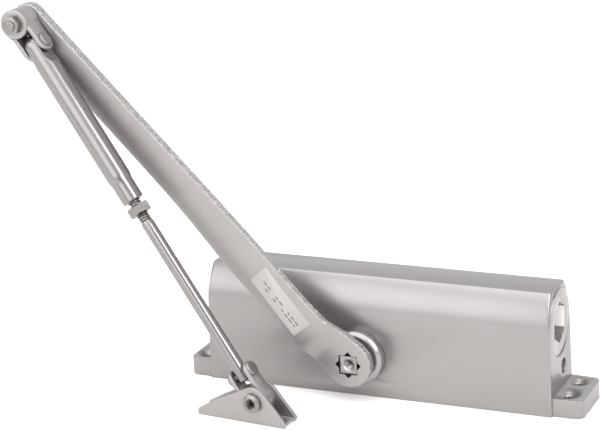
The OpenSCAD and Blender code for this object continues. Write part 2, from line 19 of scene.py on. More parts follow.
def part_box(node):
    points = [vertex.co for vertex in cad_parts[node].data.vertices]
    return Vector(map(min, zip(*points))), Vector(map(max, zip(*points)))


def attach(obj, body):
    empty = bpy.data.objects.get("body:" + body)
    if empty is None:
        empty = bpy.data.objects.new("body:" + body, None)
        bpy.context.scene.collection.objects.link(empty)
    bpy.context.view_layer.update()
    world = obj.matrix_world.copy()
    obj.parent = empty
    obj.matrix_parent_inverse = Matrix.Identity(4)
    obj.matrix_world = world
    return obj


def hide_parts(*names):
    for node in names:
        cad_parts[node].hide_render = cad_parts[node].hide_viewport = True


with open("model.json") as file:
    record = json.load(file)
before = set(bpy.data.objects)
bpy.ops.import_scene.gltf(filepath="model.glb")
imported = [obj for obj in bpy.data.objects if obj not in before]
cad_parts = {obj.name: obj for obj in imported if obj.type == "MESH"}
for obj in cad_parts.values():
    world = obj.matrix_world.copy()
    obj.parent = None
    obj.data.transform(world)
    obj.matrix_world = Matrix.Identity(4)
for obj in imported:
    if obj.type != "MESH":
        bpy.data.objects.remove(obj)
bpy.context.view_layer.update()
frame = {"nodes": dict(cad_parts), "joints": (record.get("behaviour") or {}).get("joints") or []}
nodes = frame["nodes"]
joints = {joint["name"]: joint for joint in frame["joints"]}
MM = 0.001

# %% [markdown]
# ## The camera
# A long lens from about 1.2 m away, a little above the closer and turned to its right. A long
# lens keeps the body's long edges almost parallel, as a catalogue picture does. The roll is
# small but real: without it the arm would stand two degrees too upright.

# %% Camera
LENS_MM = 123.58
CAMERA_AT = (0.41904, -1.08365, 0.45231)
CAMERA_YAW, CAMERA_PITCH, CAMERA_ROLL = 23.58, 16.51, -2.24
camera_data = bpy.data.cameras.new("catalogue_lens")
camera_data.lens = LENS_MM
camera_data.sensor_width = 36.0
camera_data.clip_start = 0.05
camera_data.clip_end = 50.0
camera = bpy.data.objects.new("catalogue_camera", camera_data)
bpy.context.scene.collection.objects.link(camera)
camera.matrix_world = (
    Matrix.Translation(CAMERA_AT)
    @ Matrix.Rotation(math.radians(CAMERA_YAW), 4, "Z")
    @ Matrix.Rotation(math.radians(90 - CAMERA_PITCH), 4, "X")
    @ Matrix.Rotation(math.radians(CAMERA_ROLL), 4, "Z")
)
bpy.context.scene.camera = camera
print("camera at", [round(part, 3) for part in camera.matrix_world.translation])

# %% [markdown]
# ## Floor and studio light
# The floor is one pale sheet. The light is a small product tent: a wide bank in front and to
# the left with a second one above it, which the curved shoulder mirrors as one bright band up
# to the crease, a slim bank at the right that draws the streak along the tube, and white
# walls. Silver shows its shape only by what it mirrors, so the walls matter as much as the
# lamps. The plain display curve keeps pale greys pale.

# %% Colours, nodes and the floor
def colour(hex_code):
    """Linear RGBA from an sRGB hex code."""
    parts = [int(hex_code[i:i + 2], 16) / 255 for i in (1, 3, 5)]
    return [p / 12.92 if p <= 0.04045 else ((p + 0.055) / 1.055) ** 2.4 for p in parts] + [1.0]


def add(tree, kind, inputs=None, **settings):
    """Adds a node, sets its properties, then its input values or links."""
    made = tree.nodes.new(kind)
    for key, value in settings.items():
        setattr(made, key, value)
    for socket, value in (inputs or {}).items():
        if isinstance(value, bpy.types.NodeSocket):
            tree.links.new(value, made.inputs[socket])
        else:
            made.inputs[socket].default_value = value
    return made


def new_material(name):
    """A material with an empty node tree."""
    material = bpy.data.materials.new(name)
    material.use_nodes = True
    material.node_tree.nodes.clear()
    return material


floor_paper = new_material("floor_paper")
tree = floor_paper.node_tree
fibre = add(tree, "ShaderNodeTexNoise", {"Scale": 900.0, "Detail": 3.0})
paper = add(tree, "ShaderNodeBsdfPrincipled", {"Base Color": colour("#f4f4f3"), "Roughness": 0.85})
bump = add(tree, "ShaderNodeBump", {"Height": fibre.outputs[0], "Strength": 0.02, "Distance": 0.0001})
tree.links.new(bump.outputs[0], paper.inputs["Normal"])
add(tree, "ShaderNodeOutputMaterial", {"Surface": paper.outputs[0]})

FLOOR_HALF, FLOOR_LEVEL = 6.0, -0.0001
floor_mesh = bpy.data.meshes.new("floor")
corners = ((-1, -1), (1, -1), (1, 1), (-1, 1))
floor_mesh.from_pydata([(x * FLOOR_HALF, y * FLOOR_HALF, FLOOR_LEVEL) for x, y in corners], [], [(0, 1, 2, 3)])
floor_mesh.materials.append(floor_paper)
floor = bpy.data.objects.new("floor", floor_mesh)
bpy.context.scene.collection.objects.link(floor)
print("floor:", 2 * FLOOR_HALF, "m square")

# %% [markdown]
# The tent is the world itself, brighter behind the camera's left shoulder than opposite it.
# Three lamps would do without it, but then the flat faces would mirror a black room.

# %% Lights
def light_bank(name, place, target, size, power):
    """A rectangular soft box at a place, facing a target."""
    data = bpy.data.lights.new(name, "AREA")
    data.shape = "RECTANGLE"
    data.size, data.size_y = size
    data.energy = power
    lamp = bpy.data.objects.new(name, data)
    lamp.location = place
    lamp.rotation_euler = (Vector(target) - Vector(place)).to_track_quat("-Z", "Y").to_euler()
    bpy.context.scene.collection.objects.link(lamp)
    return lamp


CLOSER_MIDDLE = (0.0, 0.0, 0.06)


def studio_place(azimuth, elevation, distance):
    """A place round the closer; azimuth 0 is in front of it, and grows to the right."""
    a, e = math.radians(azimuth), math.radians(elevation)
    toward_lamp = Vector((math.sin(a) * math.cos(e), -math.cos(a) * math.cos(e), math.sin(e)))
    return toward_lamp * distance + Vector(CLOSER_MIDDLE)


light_bank("front_bank", studio_place(-28, 24, 1.7), CLOSER_MIDDLE, (2.4, 1.1), 19.0)
light_bank("top_bank", studio_place(-28, 72, 1.7), CLOSER_MIDDLE, (2.4, 1.5), 25.0)
light_bank("right_bank", studio_place(58, 34, 1.4), CLOSER_MIDDLE, (0.4, 0.9), 10.0)
tent = bpy.data.worlds.new("white_tent")
bpy.context.scene.world = tent
tent.use_nodes = True
tent.node_tree.nodes.clear()
tree = tent.node_tree
toward = add(tree, "ShaderNodeTexCoord")
frontness = add(tree, "ShaderNodeVectorMath", {0: toward.outputs["Generated"], 1: (-0.35, -0.8, 0.45)},
                operation="DOT_PRODUCT")
walls = add(tree, "ShaderNodeMapRange", {"Value": frontness.outputs["Value"], "From Min": -0.6, "From Max": 0.9,
                                         "To Min": 1.12, "To Max": 0.62})
air = add(tree, "ShaderNodeBackground", {"Color": colour("#fdfcfd"), "Strength": walls.outputs[0]})
add(tree, "ShaderNodeOutputWorld", {"Surface": air.outputs[0]})
bpy.context.scene.view_settings.view_transform = "Standard"

# %% [markdown]
# ## Silver paint
# The body is die-cast aluminium under a sprayed silver lacquer, and the arm wears the same
# paint over steel. Silver lacquer is fine aluminium flake in a clear binder, so it mirrors
# softly: metallic for the most part, rough enough to smear every highlight, with a thin
# binder on top. The flake is about 0.03 mm, too fine to show, so it is drawn at 0.35 mm.

# %% Silver paint for the casting
def silver_paint(name, base, flake_mm, peel, rough):
    """Sprayed silver lacquer: flake in the colour, orange peel in the surface."""
    material = new_material(name)
    tree = material.node_tree
    where = add(tree, "ShaderNodeTexCoord")
    flake = add(tree, "ShaderNodeTexVoronoi", {"Vector": where.outputs["Object"], "Scale": 1 / (flake_mm * MM)})
    cloud = add(tree, "ShaderNodeTexNoise", {"Vector": where.outputs["Object"], "Scale": 1 / (35 * MM),
                                             "Detail": 4.0})
    glitter = add(tree, "ShaderNodeHueSaturation", {"Color": flake.outputs["Color"], "Saturation": 0.0})
    tone = add(tree, "ShaderNodeMapRange", {"Value": glitter.outputs[0], "To Min": 0.97, "To Max": 1.03})
    drift = add(tree, "ShaderNodeMapRange", {"Value": cloud.outputs[0], "From Min": 0.3, "From Max": 0.7,
                                              "To Min": 0.97, "To Max": 1.02})
    shade = add(tree, "ShaderNodeMath", {0: tone.outputs[0], 1: drift.outputs[0]}, operation="MULTIPLY")
    tint = add(tree, "ShaderNodeVectorMath", {0: colour(base)[:3], "Scale": shade.outputs[0]}, operation="SCALE")
    sheen = add(tree, "ShaderNodeMapRange", {"Value": glitter.outputs[0], "To Min": rough - 0.02,
                                             "To Max": rough + 0.02})
    peel_noise = add(tree, "ShaderNodeTexNoise", {"Vector": where.outputs["Object"], "Scale": 1 / (1.1 * MM),
                                                  "Detail": 2.0})
    bump = add(tree, "ShaderNodeBump", {"Height": peel_noise.outputs[0], "Strength": peel, "Distance": 0.05 * MM})
    paint = add(tree, "ShaderNodeBsdfPrincipled", {
        "Base Color": tint.outputs[0], "Metallic": 0.8, "Roughness": sheen.outputs[0], "Normal": bump.outputs[0],
        "Coat Weight": 0.12, "Coat Roughness": 0.25})
    add(tree, "ShaderNodeOutputMaterial", {"Surface": paint.outputs[0]})
    return material


painted_aluminium = silver_paint("silver_lacquer_on_aluminium", "#93908f", 0.35, 0.15, 0.33)
painted_steel = silver_paint("silver_lacquer_on_steel", "#999594", 0.35, 0.25, 0.36)
print("paints:", painted_aluminium.name, painted_steel.name)

# %% [markdown]
# The walls of the arm are as they left the forge: scaled, pitted, and painted over. The pits are 0.5
# to 2 mm across. The mesh carries the larger ones; this material adds the finest as bumps. Its
# colour also holds painted light: the peaks are painted lighter, a painted highlight where they
# would catch the light, and the pits darker, a painted shade.

# %% Rough painted wall of the arm
rough_wall_painted_light = new_material("silver_lacquer_over_scale_with_painted_light")
tree = rough_wall_painted_light.node_tree
where = add(tree, "ShaderNodeTexCoord")
pits = add(tree, "ShaderNodeTexNoise", {"Vector": where.outputs["Object"], "Scale": 1 / (0.9 * MM), "Detail": 5.0,
                                        "Roughness": 0.7})
# Painted light: the tint follows the bump noise, so the peaks carry a painted highlight and the pits a painted
# shade.
peak_highlight_pit_shade = add(tree, "ShaderNodeMapRange", {"Value": pits.outputs[0], "From Min": 0.42, "From Max": 0.62})
tint = add(tree, "ShaderNodeMix", {"Factor": peak_highlight_pit_shade.outputs[0], "A": colour("#7d7877"), "B": colour("#d9d6d5")},
           data_type="RGBA")
bump = add(tree, "ShaderNodeBump", {"Height": pits.outputs[0], "Strength": 1.0, "Distance": 0.6 * MM})
paint = add(tree, "ShaderNodeBsdfPrincipled", {"Base Color": tint.outputs[2], "Metallic": 0.75, "Roughness": 0.36,
                                               "Normal": bump.outputs[0]})
add(tree, "ShaderNodeOutputMaterial", {"Surface": paint.outputs[0]})
print("rough wall:", len(tree.nodes), "nodes")

# %% [markdown]
# ## Bare and plated metals
# The tube, rod, nuts, rivets and screws are steel with bright zinc. Zinc plating copies the
# drawn or turned surface under it, so its highlights break into fine streaks. Tubes and rods
# are streaked along their length, turned parts around their axis.

# %% Zinc plate, steel and brass
def streaked_metal(name, base, rough, streak_mm, turn=None, depth=0.3):
    """Plated or machined metal with fine streaks that run along the local z axis of a frame."""
    material = new_material(name)
    tree = material.node_tree
    where = add(tree, "ShaderNodeTexCoord")
    turned = where.outputs["Object"]
    if turn is not None:
        euler = turn.to_3x3().inverted().to_euler()
        turned = add(tree, "ShaderNodeMapping", {"Vector": turned, "Rotation": euler}).outputs[0]
    across, along = 1 / (streak_mm[0] * MM), 1 / (streak_mm[1] * MM)
    stretched = add(tree, "ShaderNodeMapping", {"Vector": turned, "Scale": (across, across, along)})
    streak = add(tree, "ShaderNodeTexNoise", {"Vector": stretched.outputs[0], "Scale": 1.0, "Detail": 4.0,
                                              "Roughness": 0.6})
    tone = add(tree, "ShaderNodeMapRange", {"Value": streak.outputs[0], "From Min": 0.3, "From Max": 0.7,
                                            "To Min": 0.88, "To Max": 1.05})
    tint = add(tree, "ShaderNodeVectorMath", {0: colour(base)[:3], "Scale": tone.outputs[0]}, operation="SCALE")
    sheen = add(tree, "ShaderNodeMapRange", {"Value": streak.outputs[0], "From Min": 0.3, "From Max": 0.7,
                                             "To Min": rough - 0.05, "To Max": rough + 0.09})
    bump = add(tree, "ShaderNodeBump", {"Height": streak.outputs[0], "Strength": depth, "Distance": 0.03 * MM})
    metal = add(tree, "ShaderNodeBsdfPrincipled", {"Base Color": tint.outputs[0], "Metallic": 1.0,
                                                   "Roughness": sheen.outputs[0], "Normal": bump.outputs[0]})
    add(tree, "ShaderNodeOutputMaterial", {"Surface": metal.outputs[0]})
    return material


def joint_frame(origin, x_axis, z_axis):
    """Frame in metres with its x and z axes along two directions."""
    z_axis = Vector(z_axis).normalized()
    y_axis = z_axis.cross(Vector(x_axis)).normalized()
    x_axis = y_axis.cross(z_axis)
    turn = Matrix((x_axis, y_axis, z_axis)).transposed().to_4x4()
    return Matrix.Translation(origin) @ turn


def joint_place(name):
    return Vector(joints[name]["pos_m"])


def shifted(base, x=0.0, y=0.0, z=0.0):
    return base @ Matrix.Translation(Vector((x, y, z)) * MM)


spindle_at = joint_place("spindle_turn")
spindle_at.y = 0.0
elbow_at = joint_place("elbow_swivel")
OUT = Vector((0, -1, 0))
arm_frame = joint_frame(spindle_at, Vector((elbow_at.x, 0, elbow_at.z)) - spindle_at, OUT)
forearm_frame = joint_frame(joint_place("elbow_tilt"), joints["elbow_tilt"]["axis"], joints["rod_adjust"]["axis"])
elbow_frame = joint_frame(elbow_at, joints["elbow_tilt"]["axis"],
                          Vector(joints["elbow_tilt"]["axis"]).cross((0, 1, 0)))
shoe_frame = joint_frame(joint_place("shoe_swivel"), Vector(joints["shoe_swivel"]["axis"]).cross((0, 0, 1)),
                         (0, 0, 1))
shoe_knuckle_frame = joint_frame(joint_place("shoe_swivel"), joints["shoe_tilt"]["axis"],
                                 joint_place("shoe_tilt") - joint_place("shoe_swivel"))
spindle_frame = joint_frame(spindle_at, (1, 0, 0), OUT)
print("arm rises at", round(math.degrees(math.atan2(arm_frame.col[0][2], arm_frame.col[0][0])), 2), "degrees")

zinc_drawn = streaked_metal("zinc_plate_on_drawn_tube", "#8e8b8a", 0.24, (0.8, 60.0), forearm_frame, 0.15)
zinc_turned = streaked_metal("zinc_plate_on_turned_steel", "#8b8886", 0.3, (0.8, 2.0), None, 0.2)
steel_ground = streaked_metal("ground_steel", "#a19e9d", 0.32, (0.25, 6.0), spindle_frame)
brass_turned = streaked_metal("nickel_plated_brass", "#cfc9b6", 0.25, (0.4, 0.8))
spring_steel = streaked_metal("oiled_spring_steel", "#5b5d60", 0.35, (0.8, 2.0))
cast_cap = silver_paint("silver_lacquer_on_turned_cap", "#9a9796", 0.35, 0.12, 0.26)
# Painted light: the socket walls get a copy of the zinc painted far brighter than the other zinc, a painted
# highlight inside a recess that lies in shade.
socket_zinc_painted_bright = streaked_metal("zinc_plate_painted_bright_in_socket", "#eceae9", 0.4, (1.3, 40.0))

# %% [markdown]
# Seals and O-rings are black nitrile rubber: matt, dusty at 0.2 mm, never pure black.

# %% Rubber and the blank label
rubber = new_material("nitrile_rubber")
tree = rubber.node_tree
where = add(tree, "ShaderNodeTexCoord")
dust = add(tree, "ShaderNodeTexNoise", {"Vector": where.outputs["Object"], "Scale": 1 / (0.2 * MM), "Detail": 3.0})
tint = add(tree, "ShaderNodeMix", {"Factor": dust.outputs[0], "A": colour("#161616"), "B": colour("#2a2a29")},
           data_type="RGBA")
skin = add(tree, "ShaderNodeBsdfPrincipled", {"Base Color": tint.outputs[2], "Roughness": 0.6})
add(tree, "ShaderNodeOutputMaterial", {"Surface": skin.outputs[0]})

label_film = new_material("satin_label_film")
tree = label_film.node_tree
where = add(tree, "ShaderNodeTexCoord")
weave = add(tree, "ShaderNodeTexNoise", {"Vector": where.outputs["Object"], "Scale": 1 / (0.5 * MM),
                                         "Detail": 2.0})
tone = add(tree, "ShaderNodeMapRange", {"Value": weave.outputs[0], "To Min": 0.95, "To Max": 1.04})
tint = add(tree, "ShaderNodeVectorMath", {0: colour("#a7a4a3")[:3], "Scale": tone.outputs[0]}, operation="SCALE")
film = add(tree, "ShaderNodeBsdfPrincipled", {"Base Color": tint.outputs[0], "Metallic": 0.35, "Roughness": 0.4})
add(tree, "ShaderNodeOutputMaterial", {"Surface": film.outputs[0]})

label_ink = new_material("grey_label_ink")
tree = label_ink.node_tree
where = add(tree, "ShaderNodeTexCoord")
grain = add(tree, "ShaderNodeTexNoise", {"Vector": where.outputs["Object"], "Scale": 1 / (0.3 * MM)})
tint = add(tree, "ShaderNodeMix", {"Factor": grain.outputs[0], "A": colour("#4a4a49"), "B": colour("#6e6d6b")},
           data_type="RGBA")
ink = add(tree, "ShaderNodeBsdfPrincipled", {"Base Color": tint.outputs[2], "Roughness": 0.5})
add(tree, "ShaderNodeOutputMaterial", {"Surface": ink.outputs[0]})
print("rubber and label:", rubber.name, label_film.name, label_ink.name)

# %% [markdown]
# ## Pieces
# Two helpers serve every piece. `finish_piece` turns a mesh drawn in millimetres in a local
# frame into an object at the origin, with closed seams and outward normals. `rounded_copy`
# takes a CAD node, merges its loose triangles, joins the flat ones into whole faces and rolls
# its sharp edges over, each by its own radius, as a die, a tumbler or a file would.

# %% Helpers for pieces
SMOOTH_BELOW = math.radians(32)


def finish_piece(name, mesh, body, materials, stands_for=(), place=None):
    """Places a mesh, gives it materials, and hands it to its body."""
    if place is not None:
        mesh.transform(place @ Matrix.Scale(MM, 4))
    shell = bmesh.new()
    shell.from_mesh(mesh)
    bmesh.ops.remove_doubles(shell, verts=shell.verts, dist=1e-6)
    bmesh.ops.recalc_face_normals(shell, faces=shell.faces)
    for face in shell.faces:
        face.smooth = True
    shell.to_mesh(mesh)
    shell.free()
    mesh.set_sharp_from_angle(angle=SMOOTH_BELOW)
    owners = [0] * len(mesh.polygons)
    mesh.polygons.foreach_get("material_index", owners)
    mesh.materials.clear()
    for material in materials:
        mesh.materials.append(material)
    mesh.polygons.foreach_set("material_index", owners)
    piece = bpy.data.objects.new(name, mesh)
    bpy.context.scene.collection.objects.link(piece)
    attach(piece, body)
    if stands_for:
        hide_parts(*stands_for)
    mesh.calc_loop_triangles()
    print(name, "has", len(mesh.loop_triangles), "triangles")
    return piece


def evaluated_mesh(piece):
    """The plain mesh an object has once its modifiers have run; the object is removed."""
    graph = bpy.context.evaluated_depsgraph_get()
    mesh = bpy.data.meshes.new_from_object(piece.evaluated_get(graph))
    bpy.data.objects.remove(piece)
    return mesh


def rounded_copy(node, radius_of, widest, segments=3, sharp_from=28):
    """Copy of a CAD node with each sharp edge rolled over by radius_of(middle in mm, edge)."""
    shell = bmesh.new()
    shell.from_mesh(nodes[node].data)
    bmesh.ops.remove_doubles(shell, verts=shell.verts, dist=2e-6)
    bmesh.ops.dissolve_limit(shell, angle_limit=math.radians(0.6), verts=shell.verts, edges=shell.edges)
    weight = shell.edges.layers.float.new("bevel_weight_edge")
    for edge in shell.edges:
        if edge.is_manifold and edge.calc_face_angle() > math.radians(sharp_from):
            middle = (edge.verts[0].co + edge.verts[1].co) / (2 * MM)
            edge[weight] = min(1.0, radius_of(middle, edge) / widest)
    mesh = bpy.data.meshes.new(node + "_rounded")
    shell.to_mesh(mesh)
    shell.free()
    piece = bpy.data.objects.new(mesh.name, mesh)
    bpy.context.scene.collection.objects.link(piece)
    roll = piece.modifiers.new("rolled_edges", "BEVEL")
    roll.limit_method = "WEIGHT"
    roll.width = widest * MM
    roll.segments = segments
    roll.use_clamp_overlap = False
    roll.harden_normals = False
    return evaluated_mesh(piece)


# %% [markdown]
# ## Body casting
# The body is one die casting. The long shoulders are a single curve into the flat top, and the
# two ends were milled, so their outline keeps a fillet of nearly 2 mm left by the die. Where
# the curve meets the top there is only a slight roll, which shows as one thin bright line.
# The mouth round each plug is only broken by a file, and the fillet outside it narrows where
# the wall is thin. The dishes of the feet run out to the walls, so their edges stay sharp, as
# a countersink cuts them. A bevel by edge weight gives each edge its own fillet from one modifier.

# %% Body casting
body_low, body_high = (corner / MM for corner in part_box("body_casting"))
TOP_STRIP_HALF = 13.3
FOOT_TOP = 11.0
BODY_HALF = 22.0
SIDE_FILLET, RIGHT_END_FILLET, LEFT_END_FILLET, THIN_WALL_LEFT = 1.1, 1.7, 2.2, 1.0
plug_low, plug_high = (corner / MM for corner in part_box("right_end_plug"))
PLUG_RADIUS, PLUG_Z = plug_high.y, (plug_low.z + plug_high.z) / 2


def casting_radius(middle, edge):
    along = abs((edge.verts[0].co - edge.verts[1].co).normalized().x) > 0.9
    off_plug = math.hypot(middle.y, middle.z - PLUG_Z) - PLUG_RADIUS
    on_side = abs(middle.y) > BODY_HALF - 0.5 and middle.z > 4
    if middle.z < 0.3:
        return 0.3
    if abs(middle.z - FOOT_TOP) < 0.3:
        return 0.3 if edge.is_convex and edge.calc_face_angle() > math.radians(80) else 0.0
    if along and middle.z > FOOT_TOP + 1:
        return 0.9
    if not along and abs(middle.x) > 104 and off_plug < 0.5:
        return 0.25
    if not along and abs(middle.x) > 104 and (on_side or abs(middle.y) > TOP_STRIP_HALF - 0.5 and
                                              middle.z > FOOT_TOP + 1):
        die = SIDE_FILLET if on_side else RIGHT_END_FILLET if middle.x > 0 else LEFT_END_FILLET
        return min(die, off_plug - THIN_WALL_LEFT)
    if abs(middle.z - body_high.z) < 0.5:
        return 1.0
    return 0.5


body_shell = finish_piece("body_shell", rounded_copy("body_casting", casting_radius, LEFT_END_FILLET), "body",
                          [painted_aluminium], ["body_casting"])

# %% [markdown]
# ## End plugs, valves and caps
# The end plugs are turned steel with a broached hexagon socket; the valves are slotted screws;
# the bearing caps are turned rings. Turning leaves a small broken edge of a few tenths.

# %% Plugs, valves and caps
def even(radius):
    return lambda middle, edge: radius


def socket_faces_marked(mesh):
    """Gives the walls of the hexagon socket the second material: zinc painted bright, a painted highlight."""
    face_x = max(abs(vertex.co.x) for vertex in mesh.vertices)
    bore_z = (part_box("right_end_plug")[0].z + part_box("right_end_plug")[1].z) / 2
    for face in mesh.polygons:
        off_axis = math.hypot(face.center.y, face.center.z - bore_z) / MM
        sunk = face_x - abs(face.center.x) > 1 * MM
        wall = abs(face.normal.x) < 0.3 and abs(face.normal.y) > 0.8
        face.material_index = 1 if off_axis < 12.9 and sunk and wall else 0
    return mesh


for side, body_of_valve in (("right", "closing_valve"), ("left", "backcheck_valve")):
    plug = side + "_end_plug"
    finish_piece(plug + "_turned", socket_faces_marked(rounded_copy(plug, even(0.35), 0.35, 2)), "body",
                 [cast_cap, socket_zinc_painted_bright], [plug])
    finish_piece(body_of_valve + "_turned", rounded_copy(body_of_valve, even(0.2), 0.2, 2), body_of_valve,
                 [brass_turned], [body_of_valve])
for side in ("front", "rear"):
    cap = side + "_bearing_cap"
    finish_piece(cap + "_turned", rounded_copy(cap, even(0.5), 0.5, 3, 20), "body", [cast_cap],
                 [cap])

# %% [markdown]
# ## Main arm
# The arm is forged flat steel. Its eye lies close to the body, then the bar steps out and
# tapers to the elbow. The two faces are smooth, the walls are rough. It is drawn as stations
# along the bar: each station has a point on the upper and on the lower outline, and rings of
# points roll over from the face, down the wall, and under to the back. The wall's points are
# then pushed in and out by noise, which is what breaks the outline as scale does.

# %% Arm outline
ARM_LENGTH = (Vector((elbow_at.x, 0, elbow_at.z)) - spindle_at).length / MM
EYE_RADIUS, ELBOW_RADIUS = 13.8, 9.6
UPPER = [(0, -13.8), (18, -11.5), (38, -9.8), (90, -10.6), (130, -10.6), (ARM_LENGTH, -9.6)]
LOWER = [(0, 13.8), (22, 13.7), (42, 13.3), (88, 12.8), (130, 10.2), (170, 9.4), (ARM_LENGTH, 9.6)]
EYE_FRONT, BAR_FRONT, EYE_BACK, BAR_BACK_NEAR, BAR_BACK_FAR = 38.3, 43.8, 32.3, 38.3, 35.8


def smooth_through(points, u):
    """Height of a smooth curve through the points at u, level at both ends."""
    slopes = [0.0] + [(points[i + 1][1] - points[i - 1][1]) / (points[i + 1][0] - points[i - 1][0])
                      for i in range(1, len(points) - 1)] + [0.0]
    for i in range(len(points) - 1):
        (u0, v0), (u1, v1) = points[i], points[i + 1]
        if u <= u1 or i == len(points) - 2:
            span = u1 - u0
            t = min(1.0, max(0.0, (u - u0) / span))
            return ((2 * t ** 3 - 3 * t ** 2 + 1) * v0 + (t ** 3 - 2 * t ** 2 + t) * span * slopes[i]
                    + (3 * t ** 2 - 2 * t ** 3) * v1 + (t ** 3 - t ** 2) * span * slopes[i + 1])


def ease(u, start, end):
    """Smooth step from 0 to 1 between two places."""
    t = min(1.0, max(0.0, (u - start) / (end - start)))
    return (1 - math.cos(math.pi * t)) / 2


def front_height(u):
    return EYE_FRONT + (BAR_FRONT - EYE_FRONT) * ease(u, 13, 31)


def back_height(u):
    taper = max(0.0, u - 31) / ARM_LENGTH
    return EYE_BACK + (BAR_BACK_NEAR - EYE_BACK) * ease(u, 11, 29) + (BAR_BACK_FAR - BAR_BACK_NEAR) * taper


ROUND_STEPS = 26
STATION_MM = 0.7
eye_turns = [math.pi / 2 * i / ROUND_STEPS for i in range(1, ROUND_STEPS)]
stations = [(-EYE_RADIUS * math.cos(a), EYE_RADIUS * math.sin(a)) for a in eye_turns]
upper_line = [(u, -v) for u, v in stations]
lower_line = [(u, v) for u, v in stations]
count = int(ARM_LENGTH / STATION_MM)
for i in range(count + 1):
    u = ARM_LENGTH * i / count
    upper_line.append((u, smooth_through(UPPER, u)))
    lower_line.append((u, smooth_through(LOWER, u)))
for a in reversed(eye_turns):
    upper_line.append((ARM_LENGTH + ELBOW_RADIUS * math.cos(a), -ELBOW_RADIUS * math.sin(a)))
    lower_line.append((ARM_LENGTH + ELBOW_RADIUS * math.cos(a), ELBOW_RADIUS * math.sin(a)))
print("arm stations:", len(upper_line), "arm length in mm:", round(ARM_LENGTH, 2))

# %% [markdown]
# The wall's scale is a sum of three noises, from 0.35 to 2 mm wide. Forging scale comes in
# flakes of many sizes, and one noise alone would look like orange peel.

# %% Arm mesh
FACE_ROLL = 1.0
WALL_RINGS = 12
ROLL_RINGS = 4
SCALE_DEPTH = 0.32


def arm_rings():
    """(inset, share of the way down the wall, roughness share) for each ring from face to back."""
    rings = []
    for i in range(ROLL_RINGS + 1):
        a = math.pi / 2 * i / ROLL_RINGS
        rings.append((FACE_ROLL * (1 - math.sin(a)), -FACE_ROLL * (1 - math.cos(a)), 0.0, 0.75 * i / ROLL_RINGS))
    for i in range(1, WALL_RINGS):
        rings.append((0.0, None, i / WALL_RINGS, 1.0))
    for i in range(ROLL_RINGS, -1, -1):
        a = math.pi / 2 * i / ROLL_RINGS
        rings.append((FACE_ROLL * (1 - math.sin(a)), -FACE_ROLL * (1 - math.cos(a)), 1.0, 0.75 * i / ROLL_RINGS))
    return rings


def arm_mesh():
    outline = [(-EYE_RADIUS, 0.0)] + upper_line + [(ARM_LENGTH + ELBOW_RADIUS, 0.0)] + lower_line[::-1]
    total = len(outline)
    rings = arm_rings()
    points = []
    for inset, drop, share, rough in rings:
        for k, (u, v) in enumerate(outline):
            du = outline[(k + 1) % total][0] - outline[k - 1][0]
            dv = outline[(k + 1) % total][1] - outline[k - 1][1]
            out = Vector((dv, -du)).normalized()
            if out.dot(Vector((u - ARM_LENGTH / 2, v * 40))) < 0:
                out = -out
            front, back = front_height(u), back_height(u)
            if drop is None:
                height = front - FACE_ROLL + (back - front + 2 * FACE_ROLL) * share
            else:
                height = front + drop if share == 0.0 else back - drop
            seat = Vector((u, v, height))
            grain = 0.4 * noise.noise(seat * 0.35) + 0.8 * noise.noise(seat * 1.0) + 0.6 * noise.noise(seat * 2.1)
            push = SCALE_DEPTH * rough * grain - inset
            points.append((u + out.x * push, v + out.y * push, height + 0.1 * rough * grain))
    faces, wall = [], []
    for r in range(len(rings) - 1):
        for k in range(total):
            n = (k + 1) % total
            faces.append((r * total + k, r * total + n, (r + 1) * total + n, (r + 1) * total + k))
            wall.append(1 if rings[r][3] > 0.3 and rings[r + 1][3] > 0.3 else 0)
    for ring_start in (0, (len(rings) - 1) * total):
        for k in range(len(upper_line) + 1):
            a, b = k, k + 1
            c, d = (total - a) % total, total - b
            corners = [a, b, d] if a == 0 else ([a, b, c] if b == d else [a, b, d, c])
            faces.append(tuple(ring_start + corner for corner in corners))
            wall.append(0)
    mesh = bpy.data.meshes.new("main_arm_forged")
    mesh.from_pydata(points, [], faces)
    mesh.polygons.foreach_set("material_index", wall)
    return mesh


arm_shape = arm_mesh()
print("arm mesh:", len(arm_shape.vertices), "points")

# %% [markdown]
# The eye is broached with an eight-pointed star, two squares turned by 45 degrees, so that the
# arm can be set on the square spindle in steps of an eighth of a turn. A boolean cuts the star
# and the hole for the elbow's stud, and one more cut breaks the star's front edge.

# %% Star hole
STAR_SIDE = 10.8
STUD_RADIUS = 3.0
ARM_ANGLE = math.atan2(arm_frame.col[0][2], arm_frame.col[0][0])


def star_outline(grow):
    """Sixteen points round two squares at 45 degrees, in the arm's frame."""
    half = STAR_SIDE / 2 + grow
    tip, root = half * math.sqrt(2), half / math.cos(math.pi / 8)
    turns = [math.pi / 8 * i + math.pi / 4 - ARM_ANGLE for i in range(16)]
    reaches = [tip if i % 2 == 0 else root for i in range(16)]
    return [(reach * math.cos(turn), reach * math.sin(turn)) for reach, turn in zip(reaches, turns)]


def prism(name, loops):
    """Closed solid through a list of (outline, height) loops."""
    shell = bmesh.new()
    rows = [[shell.verts.new((u, v, height)) for u, v in outline] for outline, height in loops]
    for low, high in zip(rows, rows[1:]):
        for i in range(len(low)):
            j = (i + 1) % len(low)
            shell.faces.new((low[i], low[j], high[j], high[i]))
    shell.faces.new(rows[0][::-1])
    shell.faces.new(rows[-1])
    bmesh.ops.recalc_face_normals(shell, faces=shell.faces)
    mesh = bpy.data.meshes.new(name)
    shell.to_mesh(mesh)
    shell.free()
    return mesh


def circle_outline(radius, u=0.0, v=0.0, sides=48):
    return [(u + radius * math.cos(2 * math.pi * i / sides), v + radius * math.sin(2 * math.pi * i / sides))
            for i in range(sides)]


